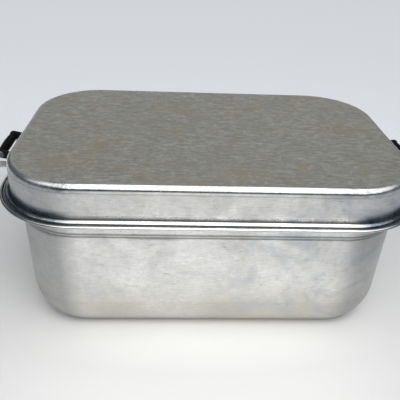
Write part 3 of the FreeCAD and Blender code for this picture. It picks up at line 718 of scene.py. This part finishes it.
def floor_paper_with_painted_light():
    """Pale paper with painted light and shade: a painted pool of light where the pan stands,
    painted shade beside and before it, a painted oval of light before the pan, and a painted
    bluish cast towards the back.
    """
    n = Nodes("floor_paper_with_painted_light")
    position = n.coords.outputs["Object"]
    north = n.separate(position)["Y"]
    paper = n.mix(n.noise(position, 3, 2.0), (0.705, 0.705, 0.695), (0.735, 0.735, 0.725))
    # Painted bluish cast of the light towards the back.
    paper = n.mix(n.ramp(north, -0.1, 0.5), paper, (0.70, 0.72, 0.75))
    # Painted light: a brighter oval before the pan, for the light its wall throws on the floor.
    painted_thrown_scale = (1 / PAINTED_THROWN_HALF_WIDTH, 1 / PAINTED_THROWN_HALF_DEPTH, 0)
    painted_thrown_light = n.length(n.place(position, painted_thrown_scale, shift=(0, 2.2, 0)))
    paper = n.mix(n.ramp(painted_thrown_light, 1.0, 0.2), paper, (0.86, 0.86, 0.84))
    # Painted shade beside and before the pool of light, and none far behind the pan.
    beside = n.length(n.place(position, (1 / PAINTED_POOL_HALF_WIDTH, 0, 0), shift=(0.036, 0.25, 0)))
    before = n.ramp(north, -0.05, -3.0, 0.0, 1.3)
    outside = n.soft_ramp(n.plus(beside, before), PAINTED_SHADE_START, PAINTED_SHADE_FULL)
    outside = n.times(outside, n.soft_ramp(north, 0.45, 0.12))
    n.link(n.mix(outside, paper, (0.32, 0.33, 0.35)), n.shader.inputs["Base Color"])
    n.shader.inputs["Roughness"].default_value = 0.65
    return n.material


# ---- grips ----------------------------------------------------------------------------------


def grip_mesh(name, node):
    """Barrel grip with rounded ends, turned about the axis of its CAD node."""
    low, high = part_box(node)
    centre = (low + high) / 2
    half = (high.y - low.y) / 2
    middle_radius = (high.x - low.x) / 2 - GRIP_SLACK
    profile = []
    for step in range(GRIP_PIECES + 1):
        share = -1 + 2 * step / GRIP_PIECES
        barrel = middle_radius - GRIP_TAPER * share**2
        profile.append((share * (half - GRIP_EDGE), barrel))
    for step in range(1, GRIP_END_PIECES + 1):
        angle = math.pi / 2 * step / GRIP_END_PIECES
        drop = GRIP_EDGE * (1 - math.cos(angle))
        reach = half - GRIP_EDGE + GRIP_EDGE * math.sin(angle)
        profile.append((reach, middle_radius - GRIP_TAPER - drop))
        profile.insert(0, (-reach, middle_radius - GRIP_TAPER - drop))
    profile.append((half, 0.0))
    profile.insert(0, (-half, 0.0))
    places = []
    for along, radius in profile:
        for turn in range(GRIP_SIDES):
            angle = 2 * math.pi * turn / GRIP_SIDES
            on_seam = turn in (0, GRIP_SIDES // 2) and radius > SEAM_START
            seam = SEAM_HEIGHT if on_seam else 0.0
            offset = Vector((math.cos(angle), 0, math.sin(angle))) * (radius + seam)
            places.append(centre + offset + Vector((0, along, 0)))
    faces = []
    for ring in range(len(profile) - 1):
        for turn in range(GRIP_SIDES):
            following = (turn + 1) % GRIP_SIDES
            low_ring, high_ring = ring * GRIP_SIDES, (ring + 1) * GRIP_SIDES
            faces.append((low_ring + turn, low_ring + following,
                          high_ring + following, high_ring + turn))
    mesh = bpy.data.meshes.new(name)
    mesh.from_pydata(places, [], faces)
    return finish_mesh(mesh)


# ---- studio ---------------------------------------------------------------------------------


def camera_at_photo_angle():
    pitch, yaw, roll = CAMERA_PITCH, CAMERA_YAW, CAMERA_ROLL
    away = Vector((math.sin(yaw) * math.cos(pitch), math.cos(yaw) * math.cos(pitch),
                   -math.sin(pitch)))
    level_right = Vector((math.cos(yaw), -math.sin(yaw), 0))
    level_up = level_right.cross(away)
    right = level_right * math.cos(roll) + level_up * math.sin(roll)
    up = level_up * math.cos(roll) - level_right * math.sin(roll)
    matrix = Matrix((right, up, -away)).transposed().to_4x4()
    matrix.translation = CAMERA_PLACE
    data = bpy.data.cameras.new("camera")
    data.lens = CAMERA_LENS
    data.sensor_width = CAMERA_SENSOR
    camera = bpy.data.objects.new("camera", data)
    camera.matrix_world = matrix
    bpy.context.scene.collection.objects.link(camera)
    bpy.context.scene.camera = camera


def add_floor():
    mesh = bpy.data.meshes.new("floor")
    corners = [(across * FLOOR_REACH, along * FLOOR_REACH, 0)
               for across, along in ((-1, -1), (1, -1), (1, 1), (-1, 1))]
    mesh.from_pydata(corners, [], [(0, 1, 2, 3)])
    floor = bpy.data.objects.new("floor", mesh)
    mesh.materials.append(floor_paper_with_painted_light())
    bpy.context.scene.collection.objects.link(floor)


def add_key_light():
    """A faint soft light above and before the pan."""
    place, aim = Vector((0.15, -0.6, 1.05)), Vector((0.03, -0.2, 0))
    data = bpy.data.lights.new("key_soft", "AREA")
    data.shape = "RECTANGLE"
    data.size, data.size_y = 0.7, 0.5
    data.energy = 4
    lamp = bpy.data.objects.new("key_soft", data)
    lamp.location = place
    lamp.rotation_euler = (aim - place).to_track_quat("-Z", "Y").to_euler()
    bpy.context.scene.collection.objects.link(lamp)


class WorldNodes:
    """Short forms for the sky's node tree, which reads the direction of each ray."""

    def __init__(self):
        self.world = bpy.data.worlds.new("studio")
        bpy.context.scene.world = self.world
        self.world.use_nodes = True
        self.tree = self.world.node_tree
        self.direction = self.tree.nodes.new("ShaderNodeTexCoord").outputs["Generated"]

    def towards(self, aim, low, high):
        """1 near a direction and 0 away from it, between two cosines."""
        dot = self.tree.nodes.new("ShaderNodeVectorMath")
        dot.operation = "DOT_PRODUCT"
        dot.inputs[1].default_value = aim
        self.tree.links.new(self.direction, dot.inputs[0])
        share = self.tree.nodes.new("ShaderNodeMapRange")
        share.interpolation_type = "SMOOTHSTEP"
        share.inputs["From Min"].default_value = low
        share.inputs["From Max"].default_value = high
        self.tree.links.new(dot.outputs["Value"], share.inputs["Value"])
        return share.outputs["Result"]

    def mix(self, share, first, second):
        node = self.tree.nodes.new("ShaderNodeMix")
        node.data_type = "RGBA"
        node.clamp_result = False
        self.tree.links.new(share, node.inputs["Factor"])
        for socket, value in ((node.inputs[6], first), (node.inputs[7], second)):
            if isinstance(value, tuple):
                socket.default_value = (*value, 1.0)
            else:
                self.tree.links.new(value, socket)
        return node.outputs[2]


def add_world():
    """Soft room: bluish low down, grey behind the pan, a broad light above, a small one beside."""
    sky = WorldNodes()
    colour = sky.mix(sky.towards((0, 0.94, 0.34), 0.70, 0.95), LOW_ROOM, BACK_OF_ROOM)
    colour = sky.mix(sky.towards((0, 0, 1), 0.5, 0.9), colour, CEILING)
    cap, side, outer, inner = (math.radians(angle)
                               for angle in (CAP_ELEVATION, CAP_SIDE, CAP_OUTER, CAP_INNER))
    aim = (math.cos(cap) * math.sin(side), -math.cos(cap) * math.cos(side), math.sin(cap))
    overhead = sky.towards(aim, math.cos(outer), math.cos(inner))
    colour = sky.mix(overhead, colour, (CAP_LIGHT,) * 3)
    colour = sky.mix(sky.towards(SIDE_AIM, *SIDE_EDGES), colour, (SIDE_LIGHT,) * 3)
    background = sky.tree.nodes["Background"]
    sky.tree.links.new(colour, background.inputs["Color"])
    background.inputs["Strength"].default_value = 1.0


# ---- the whole object -----------------------------------------------------------------------


def build():
    materials = {
        # The last two numbers of each pan set its painted corner shade and its painted dark band.
        "base_aluminium": pan_aluminium("base_aluminium", 0.35, 0.7, 0.0),
        "lid_aluminium": pan_aluminium("lid_aluminium", 0.62, 0.0, 0.95),
        "ear_aluminium": fitting_metal("ear_aluminium", (0.80, 0.80, 0.77), 0.42, 0.6),
        "arm_black": stoved_black("arm_black"),
        "rivet_aluminium": fitting_metal("rivet_aluminium", (0.72, 0.72, 0.70), 0.3, 0.45),
        "pin_steel": fitting_metal("pin_steel", (0.14, 0.14, 0.14), 0.35, 0.5),
        "grip_phenolic": phenolic("grip_phenolic"),
        "rack_wire": fitting_metal("rack_wire", (0.68, 0.68, 0.66), 0.22, 0.4),
    }
    for part in frame["record"]["subparts"]:
        piece = frame["nodes"][part["node"]]
        piece.data.materials.clear()
        piece.data.materials.append(materials[part["material_slot"]])
    base_round = closed_section(base_section(), BASE_BEAD, BEAD_TURN, 1)
    base = swept_pan("base_shell", base_round, 3.0, BASE_DENTS)
    add_piece(base, materials["base_aluminium"], "base", "base_aluminium", "base_pan")
    lid_round = closed_section(lid_section(), SHEET, 180, -1)
    lid = swept_pan("lid_shell", lid_round, 8.0, LID_DENTS)
    add_piece(lid, materials["lid_aluminium"], "lid", "lid_aluminium", "lid_pan")
    for where in ("lid", "base"):
        for side in ("left", "right"):
            node = f"{where}_{side}_grip"
            grip = grip_mesh(f"{node}_moulding", node)
            add_piece(grip, materials["grip_phenolic"], f"{where}_{side}_handle",
                      "grip_phenolic", node)


bpy.context.scene.view_settings.view_transform = "Standard"
camera_at_photo_angle()
add_world()
add_key_light()
add_floor()
build()
